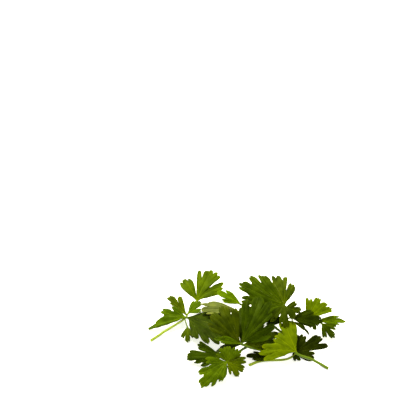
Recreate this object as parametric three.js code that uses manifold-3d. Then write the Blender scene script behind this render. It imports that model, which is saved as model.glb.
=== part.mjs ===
// A loose bunch of flat-leaf parsley lying on a surface: six leafy stems, one solid each.
// Millimetres, +Z up, the surface at z = 0, +X to the right and +Y away from the front.
import * as THREE from 'three';
import { mergeVertices } from 'three/addons/utils/BufferGeometryUtils.js';
import Module from 'manifold-3d';

const wasm = await Module();
wasm.setup();

// Driving dimensions: lengths in millimetres, the rest shares of a leaflet's length or angle.
const BLADE = 0.8; // thickness of a leaflet, measured along its own upright
const SINK = 0.8; // length of a leaflet's foot buried in its stalk
const STALK_SIDES = 8;
const STALK_STEP = 3; // length of stalk between two rings of its skin
const NOTCH = 0.9; // depth of the notch between two teeth over a tooth's width
const DEEPEST = 0.25; // the most that a notch takes off a tooth's radius
const SHOULDERS = [0.25, 0.75]; // where a tooth's two shoulders stand across it
const SHOULDER_DROP = 0.1; // how far they stand below its tip, over the notch's depth
const LEAN = 0.86; // how far out the bottom of a cleft stands, over its mouth
const FOOT = 0.5; // radius at a leaflet's side margins over that of the first tooth
const RING = 0.7; // radius of the ring that the teeth spring from
const RING_IN_CLEFT = 0.8; // the same where a cleft parts two lobes
const ARCH = 0.06; // height of a leaflet's arch from foot to tip
const CURL = 0.15; // how far its sides droop
const WAVE = 0.03; // height of the waves across it
const WAVES = 5; // their phase from the midrib to a margin, in radians
const CREASE = 0.05; // half width of the round bottom of its midrib fold
const GOLDEN_ANGLE = 2.4; // phase from one leaflet's waves to the next one's

// One lobe of a leaflet, between two shares of its spread: -1 is the right margin, 1 the left.
// Crown lowers the outer teeth of the lobe, and lean raises its left teeth over its right ones.
const lobe = (from, to, reach, teeth, crown, lean) => ({ from, to, reach, teeth, crown, lean });

// The outlines that parsley leaflets take. A cleft is the radius at the parting of two lobes.
const CUTS = {
  three: {
    lobes: [
      lobe(-1, -0.46, 0.72, 2, 0.12, 0.18),
      lobe(-0.36, 0.36, 1, 3, 0.2, 0),
      lobe(0.46, 1, 0.72, 2, 0.12, -0.18),
    ],
    clefts: [0.42, 0.42],
  },
  fan: {
    lobes: [
      lobe(-1, -0.6, 0.84, 2, 0.1, 0.06),
      lobe(-0.54, -0.06, 1, 3, 0.1, 0.02),
      lobe(0.02, 0.5, 1, 3, 0.1, -0.02),
      lobe(0.58, 1, 0.86, 2, 0.1, -0.06),
    ],
    clefts: [0.7, 0.74, 0.7],
  },
  strap: {
    lobes: [
      lobe(-1, -0.34, 0.62, 1, 0, 0.2),
      lobe(-0.26, 0.26, 1, 2, 0.14, 0),
      lobe(0.34, 1, 0.62, 1, 0, -0.2),
    ],
    clefts: [0.5, 0.5],
  },
  claw: {
    lobes: [
      lobe(-1, -0.42, 0.8, 2, 0.12, 0.05),
      lobe(-0.32, 0.28, 1, 3, 0.16, 0),
      lobe(0.38, 1, 0.84, 2, 0.12, -0.06),
    ],
    clefts: [0.46, 0.5],
  },
  crown: {
    lobes: [
      lobe(-1, -0.6, 0.8, 3, 0, 0.26),
      lobe(-0.54, -0.1, 1.03, 4, 0.05, -0.02),
      lobe(-0.06, 0.1, 0.92, 1, 0, 0),
      lobe(0.26, 1, 0.74, 3, 0.2, 0),
    ],
    clefts: [0.2, 0.64, 0.14],
  },
  long: {
    lobes: [
      lobe(-1, -0.7, 0.42, 2, 0.1, 0.1),
      lobe(-0.64, -0.34, 0.62, 2, 0.06, 0.08),
      lobe(-0.28, 1, 1, 5, 0.5, 0),
    ],
    clefts: [0.34, 0.54],
  },
  under: {
    lobes: [
      lobe(-1, -0.56, 0.68, 3, 0.08, 0.06),
      lobe(-0.5, -0.1, 0.88, 3, 0.1, 0.02),
      lobe(-0.04, 0.38, 1, 3, 0.1, 0),
      lobe(0.46, 1, 0.8, 3, 0.12, -0.05),
    ],
    clefts: [0.56, 0.74, 0.66],
  },
  crest: {
    lobes: [
      lobe(-1, -0.7, 0.86, 3, 0.06, 0.1),
      lobe(-0.64, -0.44, 1.04, 2, 0.08, 0.02),
      lobe(-0.38, -0.08, 1.12, 3, 0.06, 0),
      lobe(0, 0.3, 0.98, 2, 0.08, 0),
      lobe(0.38, 1, 0.9, 4, 0.1, -0.06),
    ],
    clefts: [0.68, 0.86, 0.84, 0.7],
  },
  pair: {
    lobes: [
      lobe(-1, -0.44, 0.68, 3, 0.08, 0.12),
      lobe(-0.34, -0.14, 0.92, 1, 0, 0),
      lobe(-0.1, 0.58, 1, 2, 0.06, 0),
      lobe(0.64, 1, 0.82, 1, 0, -0.08),
    ],
    clefts: [0.42, 0.76, 0.8],
  },
  wing: {
    lobes: [
      lobe(-1, -0.36, 0.98, 4, 0.1, 0.08),
      lobe(-0.26, 0.3, 0.76, 3, 0.06, 0),
      lobe(0.4, 1, 1.02, 3, 0.1, -0.04),
    ],
    clefts: [0.58, 0.62],
  },
  palm: {
    lobes: [
      lobe(-1, -0.46, 0.78, 3, 0.06, -0.02),
      lobe(-0.36, 0.24, 1, 4, 0.08, 0.06),
      lobe(0.3, 0.52, 0.8, 2, 0.1, -0.05),
      lobe(0.58, 1, 0.64, 2, 0.1, -0.03),
    ],
    clefts: [0.4, 0.74, 0.6],
  },
  low: {
    lobes: [
      lobe(-1, -0.54, 0.6, 2, 0.1, 0.02),
      lobe(-0.48, -0.24, 0.88, 2, 0.1, 0),
      lobe(-0.18, 0.2, 1, 4, 0.08, -0.02),
      lobe(0.26, 0.44, 0.82, 2, 0.08, 0),
      lobe(0.5, 1, 0.56, 3, 0.1, -0.26),
    ],
    clefts: [0.54, 0.76, 0.74, 0.58],
  },
  frill: {
    lobes: [
      lobe(-1, -0.7, 0.68, 1, 0, 0),
      lobe(-0.62, -0.2, 0.96, 3, 0.1, 0.03),
      lobe(-0.12, 0.3, 1, 3, 0.08, 0),
      lobe(0.38, 0.8, 1.04, 2, 0.1, 0),
      lobe(0.86, 1, 0.8, 1, 0, 0),
    ],
    clefts: [0.56, 0.72, 0.74, 0.74],
  },
  broad: {
    lobes: [
      lobe(-1, -0.46, 1, 3, 0.05, -0.04),
      lobe(-0.4, 0.08, 0.95, 3, 0.08, -0.03),
      lobe(0.14, 0.5, 0.92, 3, 0.06, 0),
      lobe(0.56, 1, 0.8, 2, 0.04, 0),
    ],
    clefts: [0.8, 0.76, 0.72],
  },
  hook: {
    lobes: [
      lobe(-1, -0.24, 0.6, 3, 0.12, 0.08),
      lobe(-0.18, 0.03, 1.03, 1, 0, 0),
      lobe(0.08, 0.37, 0.9, 3, 0.08, -0.06),
      lobe(0.47, 1, 0.6, 3, 0.1, -0.06),
    ],
    clefts: [0.42, 0.74, 0.46],
  },
};

// A stalk's route and its radius at both ends; a leaflet's foot and tip, its spread to the
// right and left of its axis and its turn about that axis, in degrees, and how far it folds.
const stalk = (route, thick, thin) => ({ route, thick, thin });
const leaflet = (cut, foot, tip, spread, roll, fold = 0.08, arch = ARCH) => ({
  cut, foot, tip, spread, roll, fold, arch,
});

const SPRIGS = {
  sprig_left: {
    colour: 0x5e7a0c,
    stalks: [
      stalk([[-68.5, -15.5, 0.8], [-57, -5, 2.5], [-46, 2.5, 6], [-43.5, 6, 8],
        [-40.5, 11.5, 10], [-37.5, 16.5, 12]], 1, 0.6),
      stalk([[-45.6, 3, 6.3], [-43, -5.5, 5]], 0.5, 0.45),
      stalk([[-45.4, 3.2, 6.5], [-42.8, 2, 7.8]], 0.55, 0.5),
    ],
    leaflets: [
      leaflet('crown', [-37.5, 16, 12], [-36, 42, 22], [66, 54], 2, 0.06),
      leaflet('palm', [-44.5, 5, 8], [-58.5, 19, 12.5], [28, 22], -25, 0.15),
      leaflet('long', [-45, 3, 7], [-73.5, -2, 1], [58, 11], -26, 0.12),
      leaflet('claw', [-43, 6.5, 8.5], [-33.5, 13.5, 13.5], [52, 32], 5, 0.2),
      leaflet('under', [-43.2, 2.2, 7.8], [-20.5, -27.5, 7.6], [25, 66], 4, 0.06),
      leaflet('claw', [-43, -5, 5], [-42, -17, 1], [34, 34], 5),
    ],
  },
  sprig_centre: {
    colour: 0x536b0a,
    stalks: [
      stalk([[27, -20.5, 0.9], [20, -23, 1.6], [13, -25, 3.4], [7.5, -27, 6.8],
        [1.5, -31, 12], [-5, -31, 15]], 1.1, 0.85),
      stalk([[-4, -31, 15], [-1.5, -23.5, 15.5]], 0.55, 0.5),
    ],
    leaflets: [
      leaflet('fan', [-5.5, -30.5, 15], [-23.5, -12, 29.5], [34, 31], -30, 0.06, 0.1),
      leaflet('fan', [-4, -30.5, 15], [12.5, -1, 31], [19, 30], 24, 0.06, 0.1),
      leaflet('three', [-5, -31, 15], [-23.5, -30, 18.2], [18, 12], -48, 0.2),
      leaflet('three', [-3.5, -29.5, 15], [18, -12, 16.5], [26, 14], 38, 0.25),
      leaflet('fan', [-3, -31, 14], [24, -13.5, 6.5], [26, 21], 33, 0.05, 0),
      leaflet('three', [-5, -31, 14.5], [-24, -26, 1], [11, 27], -18),
      leaflet('claw', [-4.5, -30.5, 14.5], [-5.5, -2, 23.5], [14, 13], 0),
    ],
  },
  sprig_tall: {
    colour: 0x5a740a,
    stalks: [
      stalk([[56, -37.5, 0.85], [45, -32, 3.5], [33.5, -29.5, 7], [29.5, -20, 12],
        [25.5, -10.5, 18], [25, -5.5, 22], [24.5, -0.5, 25]], 1.05, 0.65),
      stalk([[25.5, -8.5, 19], [31.5, -4.5, 17], [43.5, -3, 14],
        [49, -1.5, 12.5]], 0.6, 0.48),
      stalk([[30.5, -5, 17.2], [31, -5.5, 14]], 0.5, 0.45),
      stalk([[48, -1.7, 12.6], [52, -3, 11]], 0.48, 0.45),
    ],
    leaflets: [
      leaflet('wing', [33.5, -29, 7.5], [13, -17.3, 16.3], [54, 58], -17, 0.05),
      leaflet('crest', [24.5, -0.5, 25], [-6, 6.5, 28], [46, 46], -41, 0.06),
      leaflet('pair', [25, 0, 25], [20.5, 23, 34], [45, 26], -8, 0.06),
      leaflet('claw', [25, -3, 23], [37.5, -0.5, 21], [46, 42], 40),
      leaflet('three', [25.5, -10, 18.3], [9, -3, 12.8], [28, 24], -36),
      leaflet('three', [30, -5, 17], [53, -2, 12], [22, 32], 40),
      leaflet('broad', [41, -2.5, 14], [55, 10, 22], [26, 46], 30),
      leaflet('three', [48.5, -1.5, 12.5], [70, 4, 8], [18, 16], 30, 0.15),
      leaflet('claw', [52, -3, 11], [61.5, -8.5, 3], [42, 42], 33),
      leaflet('claw', [45, -2.5, 13.5], [47.5, -7, 8], [44, 44], 16),
      leaflet('strap', [31, -5.5, 14], [43, -10.5, 6], [13, 13], 14, 0.2, 0.2),
      leaflet('claw', [24.8, -1.5, 25.4], [25, -15, 18.5], [52, 52], 0),
      leaflet('fan', [24.5, -1.5, 24], [9.5, -7, 19], [30, 34], -28),
    ],
  },
  sprig_front: {
    colour: 0x34430a,
    stalks: [
      stalk([[1.5, -37, 0.8], [10.5, -32, 0.8], [27, -30.5, 1.5],
        [34.5, -25.5, 3]], 1, 0.7),
    ],
    leaflets: [
      leaflet('hook', [32.5, -26, 3], [56, -16, 5], [48, 62], 35, 0.06),
      leaflet('claw', [32, -26.5, 2.5], [37, -31, 1], [40, 40], 19),
      leaflet('three', [18, -31, 1.6], [-2, -28.5, 1.6], [18, 20], -16),
    ],
  },
  sprig_low: {
    colour: 0x5c7d08,
    stalks: [
      stalk([[17, -8, 0.9], [7.5, -15.5, 3.5], [-3, -27, 6.5], [-9, -36, 8],
        [-13.5, -43, 9]], 1.05, 0.75),
      stalk([[-11, -39, 8.4], [-17, -36, 7]], 0.55, 0.5),
    ],
    leaflets: [
      leaflet('low', [-14, -43.5, 9], [-31.5, -60, 0.5], [57, 42], -28, 0.06),
      leaflet('frill', [-13.5, -43, 9], [-2, -46, 2.6], [48, 60], 38, 0.06),
      leaflet('broad', [-13.5, -43, 9], [-16.5, -34, 16], [68, 44], -13),
      leaflet('palm', [-17, -36, 7], [-42.5, -34, 3.5], [34, 31], -37, 0.06),
    ],
  },
  sprig_back: {
    colour: 0x7d8f2c,
    stalks: [
      stalk([[25.5, -4, 0.8], [14, 0.5, 8], [1, 4, 16], [-2.5, 5, 18],
        [-6.5, 5.5, 19.5]], 0.9, 0.6),
      stalk([[1.5, 3.9, 15.7], [-5, 5, 11.5]], 0.5, 0.45),
    ],
    leaflets: [
      leaflet('three', [-6, 5.5, 19.5], [-23.5, 10.5, 26], [24, 28], -24),
      leaflet('fan', [-4.5, 5, 11.5], [-35, 5.5, 14.5], [17, 17], -6),
      leaflet('three', [14.5, 0.5, 8], [12, 24, 0.5], [30, 30], 0),
    ],
  },
};

function envelope({ reach, crown, lean }, share) {
  const side = 2 * share - 1;
  return reach * (1 - crown * side ** 2) * (1 + lean * side);
}

// The edge of a leaflet, from its right margin to its left: at each point the share of the
// spread, the radius, and the radius of the ring inside it.
function outline({ lobes, clefts }, spread) {
  const turnTo = (side) => THREE.MathUtils.degToRad(side * spread[side > 0 ? 1 : 0]);
  const edge = [];
  lobes.forEach((part, index) => {
    if (index > 0) {
      const cleft = clefts[index - 1];
      const mouth = (lobes[index - 1].to + part.from) / 2;
      edge.push([mouth * LEAN, cleft, cleft * RING_IN_CLEFT]);
    }
    const width = (turnTo(part.to) - turnTo(part.from)) / part.teeth;
    const depth = Math.min(NOTCH * width, DEEPEST);
    for (let tooth = 0; tooth < part.teeth; tooth += 1) {
      const spots = tooth > 0 ? [0, ...SHOULDERS] : SHOULDERS;
      for (const spot of spots) {
        const share = (tooth + spot) / part.teeth;
        const radius = envelope(part, share);
        const side = THREE.MathUtils.lerp(part.from, part.to, share);
        const drop = spot > 0 ? depth * SHOULDER_DROP : depth;
        edge.push([side, radius * (1 - drop), radius * RING]);
      }
    }
  });
  const margin = (side, [, radius]) => [side, radius * FOOT, radius * FOOT * RING];
  return [margin(-1, edge[0]), ...edge, margin(1, edge.at(-1))];
}

// A leaflet as a closed plate: a fan and a ring of triangles, alike on both faces, and a rim.
function plate(leaf, index) {
  const foot = new THREE.Vector3(...leaf.foot);
  const along = new THREE.Vector3(...leaf.tip).sub(foot);
  const length = along.length() + SINK;
  along.normalize();
  const up = new THREE.Vector3(0, 0, 1).addScaledVector(along, -along.z).normalize();
  up.applyAxisAngle(along, THREE.MathUtils.degToRad(leaf.roll));
  const left = up.clone().cross(along);
  const edge = outline(CUTS[leaf.cut], leaf.spread);

  const place = (side, radius, lift) => {
    const turn = THREE.MathUtils.degToRad(side * leaf.spread[side > 0 ? 1 : 0]);
    const across = radius * Math.sin(turn);
    const rise = leaf.arch * 4 * radius * (1 - radius)
      + leaf.fold * (Math.hypot(across, CREASE) - CREASE)
      - CURL * across ** 2
      + WAVE * radius ** 2 * Math.sin(WAVES * side + GOLDEN_ANGLE * index);
    return foot.clone()
      .addScaledVector(along, length * radius * Math.cos(turn) - SINK)
      .addScaledVector(left, length * across)
      .addScaledVector(up, length * rise + lift);
  };

  const face = (lift) => [
    place(0, 0, lift),
    ...edge.map(([side, , inner]) => place(side, inner, lift)),
    ...edge.map(([side, radius]) => place(side, radius, lift)),
  ];
  const points = [...face(BLADE / 2), ...face(-BLADE / 2)];
  const under = points.length / 2;
  const ring = (i) => 1 + i;
  const rim = (i) => 1 + edge.length + i;
  const triangles = [];
  const bothFaces = (a, b, c) => triangles.push(a, b, c, a + under, c + under, b + under);
  for (let i = 0; i + 1 < edge.length; i += 1) {
    bothFaces(0, ring(i), ring(i + 1));
    bothFaces(ring(i), rim(i), rim(i + 1));
    bothFaces(ring(i), rim(i + 1), ring(i + 1));
  }
  const last = edge.length - 1;
  const loop = [0, ring(0), ...edge.map((_, i) => rim(i)), ring(last)];
  loop.forEach((a, i) => {
    const b = loop[(i + 1) % loop.length];
    triangles.push(a, a + under, b + under, a, b + under, b);
  });
  const geometry = new THREE.BufferGeometry().setFromPoints(points);
  geometry.setIndex(triangles);
  return geometry;
}

// A stalk: a round section swept along its route, then thinned ring by ring towards its end.
function rod({ route, thick, thin }) {
  const curve = new THREE.CatmullRomCurve3(
    route.map((point) => new THREE.Vector3(...point)), false, 'catmullrom');
  const section = new THREE.Shape(Array.from({ length: STALK_SIDES }, (_, i) => {
    const turn = (i / STALK_SIDES) * 2 * Math.PI;
    return new THREE.Vector2(Math.cos(turn), Math.sin(turn));
  }));
  const steps = Math.ceil(curve.getLength() / STALK_STEP);
  const tube = new THREE.ExtrudeGeometry(section, { steps, extrudePath: curve });
  const centres = curve.getSpacedPoints(steps);
  const corners = tube.getAttribute('position');
  const corner = new THREE.Vector3();
  for (let i = 0; i < corners.count; i += 1) {
    corner.fromBufferAttribute(corners, i);
    const gaps = centres.map((centre) => centre.distanceTo(corner));
    const station = gaps.indexOf(Math.min(...gaps));
    const radius = THREE.MathUtils.lerp(thick, thin, station / steps);
    corner.sub(centres[station]).multiplyScalar(radius).add(centres[station]);
    corners.setXYZ(i, corner.x, corner.y, corner.z);
  }
  return tube;
}

function toSolid(geometry) {
  geometry.deleteAttribute('normal');
  geometry.deleteAttribute('uv');
  const merged = mergeVertices(geometry);
  return new wasm.Manifold(new wasm.Mesh({
    numProp: 3,
    vertProperties: Float32Array.from(merged.getAttribute('position').array),
    triVerts: Uint32Array.from(merged.index.array),
  }));
}

function toGeometry(solid) {
  const { vertProperties, triVerts } = solid.getMesh();
  const geometry = new THREE.BufferGeometry();
  geometry.setAttribute('position', new THREE.BufferAttribute(vertProperties, 3));
  geometry.setIndex(new THREE.BufferAttribute(triVerts, 1));
  geometry.computeVertexNormals();
  return geometry;
}

// A leafy stem in one piece, cut flat where it presses on the surface.
function sprig({ colour, stalks, leaflets }) {
  const pieces = [...stalks.map(rod), ...leaflets.map(plate)].map(toSolid);
  const joined = pieces.reduce((whole, piece) => whole.add(piece));
  const material = new THREE.MeshStandardMaterial({ color: colour, roughness: 0.5, metalness: 0 });
  return new THREE.Mesh(toGeometry(joined.trimByPlane([0, 0, 1], 0)), material);
}

const bunch = new THREE.Group();
for (const [name, parts] of Object.entries(SPRIGS)) {
  const mesh = sprig(parts);
  mesh.name = name;
  bunch.add(mesh);
}

// The origin is at the middle of the bunch's footprint.
const middle = new THREE.Box3().setFromObject(bunch).getCenter(new THREE.Vector3());
bunch.position.set(-middle.x, -middle.y, 0);

export default bunch;
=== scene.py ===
"""A loose bunch of flat-leaf parsley, dressed over its CAD frame.

Six leafy stalks lie across one another. Each CAD node is one leafy stalk, and here it is
replaced by two pieces: its leaflets, with toothed edges, veins and a pale underside, and its
stalks, with the raised ribs that run out under the leaflets.
"""

import logging
import math
import random
from dataclasses import dataclass
from enum import Enum

import bmesh
import bpy
from mathutils import Matrix, Vector


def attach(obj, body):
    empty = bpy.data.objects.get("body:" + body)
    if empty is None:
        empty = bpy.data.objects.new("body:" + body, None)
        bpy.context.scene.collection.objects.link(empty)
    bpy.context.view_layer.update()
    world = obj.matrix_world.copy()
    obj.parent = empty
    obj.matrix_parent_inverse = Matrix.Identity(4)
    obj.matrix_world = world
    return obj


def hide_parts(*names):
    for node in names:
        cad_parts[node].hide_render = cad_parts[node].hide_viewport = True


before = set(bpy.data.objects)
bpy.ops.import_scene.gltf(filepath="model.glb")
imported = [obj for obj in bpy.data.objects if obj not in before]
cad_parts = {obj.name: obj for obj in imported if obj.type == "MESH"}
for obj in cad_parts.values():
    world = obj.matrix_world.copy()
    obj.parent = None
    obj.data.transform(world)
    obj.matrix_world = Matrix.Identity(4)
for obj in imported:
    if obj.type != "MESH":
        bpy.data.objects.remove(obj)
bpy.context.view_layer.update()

LOG = logging.getLogger("parsley")
MM = 0.001
ORIGIN = Vector((1.463, 9.906, 0.0))  # where the table's origin stands in the frame, in mm
SEED = 11
NOISE_MIDDLE = 0.5
TINY = 1e-9  # keeps a division from a zero
WARM = (1.0, 0.98, 0.72)  # colour of the lights and the sky

Triple = tuple[float, float, float]


def smooth_step(value: float) -> float:
    """Ease a share from 0 to 1.

    Args:
        value: the share, held to 0 to 1.

    Returns:
        The eased share.
    """
    held = min(max(value, 0.0), 1.0)
    return held * held * (3.0 - 2.0 * held)


def mix(low: float, high: float, share: float) -> float:
    """Return the value a share of the way from low to high."""
    return low + (high - low) * share


def put_in_scene(name: str, data: bpy.types.ID) -> bpy.types.Object:
    """Make an object and link it to the scene.

    Args:
        name: the object's name.
        data: its mesh, light or camera.

    Returns:
        The object.
    """
    made = bpy.data.objects.new(name, data)
    bpy.context.scene.collection.objects.link(made)
    return made


def put_mesh(mesh: bmesh.types.BMesh, name: str,
             materials: list[bpy.types.Material]) -> bpy.types.Object:
    """Turn a finished bmesh into an object of the scene.

    Args:
        mesh: the mesh, which is freed.
        name: the object's name.
        materials: what it is dressed in.

    Returns:
        The object.
    """
    data = bpy.data.meshes.new(name)
    mesh.to_mesh(data)
    mesh.free()
    for material in materials:
        data.materials.append(material)
    return put_in_scene(name, data)


# --------------------------------------------------------------------------- outlines


def polar(radius: float, turn: float) -> Vector:
    """Return the flat point at a radius and a turn in radians."""
    return Vector((radius * math.cos(turn), radius * math.sin(turn)))


@dataclass(frozen=True)
class Line:
    """One line of a leaflet's grid: it leaves the foot, bends and ends on the leaflet's edge.

    Attributes:
        bend: the point it bends towards, in shares of the leaflet's length.
        end: its end.
        lobe: number of its lobe.
        tooth: number of its tooth in the leaflet.
    """

    bend: Vector
    end: Vector
    lobe: int
    tooth: int

    def point(self, out: float) -> Vector:
        """Return the flat point a share of the way out."""
        return self.bend * (2.0 * out * (1.0 - out)) + self.end * out**2

    def abreast(self, flat: Vector) -> Vector:
        """Return the line's point as far from the foot as another point is."""
        return self.point(min(1.0, flat.length / self.end.length))


@dataclass(frozen=True)
class Vein:
    """A side vein: it leaves its lobe's main vein and runs out to the tip of a tooth.

    Attributes:
        root: where it leaves the main vein, in shares of the leaflet's length.
        tip: where it ends.
    """

    root: Vector
    tip: Vector

    def nearest(self, flat: Vector) -> Vector:
        """Find its point nearest to another point.

        Args:
            flat: the other point.

        Returns:
            The nearest point.
        """
        run = self.tip - self.root
        share = (flat - self.root).dot(run) / max(run.length_squared, TINY)
        return self.root + run * min(max(share, 0.0), 1.0)


@dataclass(frozen=True)
class Lobe:
    """One lobe of a leaflet, between two shares of its spread.

    Attributes:
        start: share of the spread at its right.
        end: share of the spread at its left.
        reach: radius at its middle.
        teeth: number of teeth.
        crown: how much lower its outer teeth stand.
        lean: how much its left teeth stand over its right ones.
    """

    start: float
    end: float
    reach: float
    teeth: int
    crown: float
    lean: float

    def envelope(self, share: float) -> float:
        """Return the radius that the teeth touch, a share of the way across."""
        side = 2.0 * share - 1.0
        return self.reach * (1.0 - self.crown * side**2) * (1.0 + self.lean * side)

    def side(self, share: float) -> float:
        """Return the share of the leaflet's spread, a share of the way across the lobe."""
        return mix(self.start, self.end, share)


@dataclass(frozen=True)
class Outline:
    """A leaflet's edge: its lobes from right to left and the clefts that part them.

    Attributes:
        lobes: the lobes.
        clefts: radius of the cleft after each lobe but the last.
    """

    lobes: tuple[Lobe, ...]
    clefts: tuple[float, ...]

    # Lines to a tooth and to a lobe's side.
    TOOTH_LINES = 8
    FLANK_LINES = 4
    # Depth of a notch between two teeth and beside the outer ones, in widths of a tooth.
    NOTCH_DEPTH = 0.9
    SHOULDER_DEPTH = 1.0
    NOTCH_UNEVEN = 0.3
    DEEPEST = 0.25
    # How uneven the teeth are in length, and how full their tips and the lobes' sides are.
    UNEVEN = 0.06
    BLUNTNESS = 0.78
    FLANK_EASE = 0.5
    # Where a cleft ends, and the radius at the leaflet's foot as a share of its shoulder's.
    CLEFT_LEAN = 0.86
    FOOT = 0.5
    # How a line bends towards its lobe's middle and the leaflet's axis, and where.
    PULL = 0.4
    AXIS_PULL = 0.25
    BEND = 0.5

    def lines(self, spread: tuple[float, float], draw: random.Random) -> list[Line]:
        """Lay out the lines of a leaflet's grid.

        Args:
            spread: half angles to the right and left of the axis, in degrees.
            draw: the sprig's random draw, for teeth of uneven length.

        Returns:
            The lines from the right margin to the left.
        """
        made: list[Line] = []
        first_tooth = 0
        for index, lobe in enumerate(self.lobes):
            turns = [math.radians(lobe.side(share) * spread[lobe.side(share) > 0])
                     for share in (0.0, 0.5, 1.0)]
            edge = self.lobe_edge(index, spread, draw)
            for step, (end, tooth) in enumerate(edge):
                turn = math.atan2(end.y, end.x)
                across = (turn - turns[1]) / max(turns[2] - turns[1], TINY)
                pull = self.PULL * max(0.0, 1.0 - across**2)
                aim = mix(turn, turns[1], pull) * (1.0 - self.AXIS_PULL)
                bend = polar(end.length * self.BEND, aim)
                if step > 0 or index == 0:
                    made.append(Line(bend, end, index, first_tooth + tooth))
            first_tooth += lobe.teeth
        return made

    def lobe_edge(self, index: int, spread: tuple[float, float],
                  draw: random.Random) -> list[tuple[Vector, int]]:
        """Draw the edge of one lobe.

        Args:
            index: the lobe's number.
            spread: half angles to the right and left of the axis, in degrees.
            draw: the sprig's random draw.

        Returns:
            The edge's points from right to left, each with the number of its tooth.
        """
        lobe = self.lobes[index]

        def spot(radius: float, side: float) -> Vector:
            """Return the flat point at a radius and a share of the spread."""
            return polar(radius, math.radians(side * spread[side > 0]))

        width = (spot(1.0, lobe.start) - spot(1.0, lobe.end)).length / lobe.teeth
        notches: list[Vector] = []
        for tooth in range(lobe.teeth + 1):
            share = tooth / lobe.teeth
            depth = self.NOTCH_DEPTH if 0 < tooth < lobe.teeth else self.SHOULDER_DEPTH
            depth *= draw.uniform(1.0 - self.NOTCH_UNEVEN, 1.0 + self.NOTCH_UNEVEN)
            fall = min(depth * width, self.DEEPEST)
            notches.append(spot(lobe.envelope(share) * (1.0 - fall), lobe.side(share)))
        edge = [(point, 0) for point in self.flank(index, -1, notches[0], spread)]
        for tooth in range(lobe.teeth):
            share = (tooth + 0.5) / lobe.teeth
            size = draw.uniform(1.0 - self.UNEVEN, 1.0)
            tip = spot(lobe.envelope(share) * size, lobe.side(share))
            right, left = notches[tooth], notches[tooth + 1]
            height = tip - (right + left) / 2.0
            for step in range(self.TOOTH_LINES):
                turn = math.pi * step / self.TOOTH_LINES
                foot = right.lerp(left, (1.0 - math.cos(turn)) / 2.0)
                edge.append((foot + height * math.sin(turn)**self.BLUNTNESS, tooth))
        last = lobe.teeth - 1
        edge.append((notches[-1], last))
        after = [(point, last) for point in self.flank(index, 1, notches[-1], spread)]
        return edge + after[::-1]

    def flank(self, index: int, hand: int, shoulder: Vector,
              spread: tuple[float, float]) -> list[Vector]:
        """Draw one side of a lobe, from the bottom of the cleft beside it to its shoulder.

        Args:
            index: the lobe's number.
            hand: -1 for its right side and 1 for its left.
            shoulder: where the lobe's teeth begin on that side.
            spread: half angles to the right and left of the axis, in degrees.

        Returns:
            The points, without the shoulder.
        """
        other = index + hand
        if 0 <= other < len(self.lobes):
            right, left = self.lobes[min(index, other)], self.lobes[max(index, other)]
            side = (right.end + left.start) / 2.0 * self.CLEFT_LEAN
            radius = self.clefts[min(index, other)]
        else:
            side = float(hand)
            radius = shoulder.length * self.FOOT
        start = math.radians(side * spread[side > 0])
        finish = math.atan2(shoulder.y, shoulder.x)
        made: list[Vector] = []
        for step in range(self.FLANK_LINES):
            share = step / self.FLANK_LINES
            turn = mix(start, finish, share**self.FLANK_EASE)
            made.append(polar(mix(radius, shoulder.length, share), turn))
        return made


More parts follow.
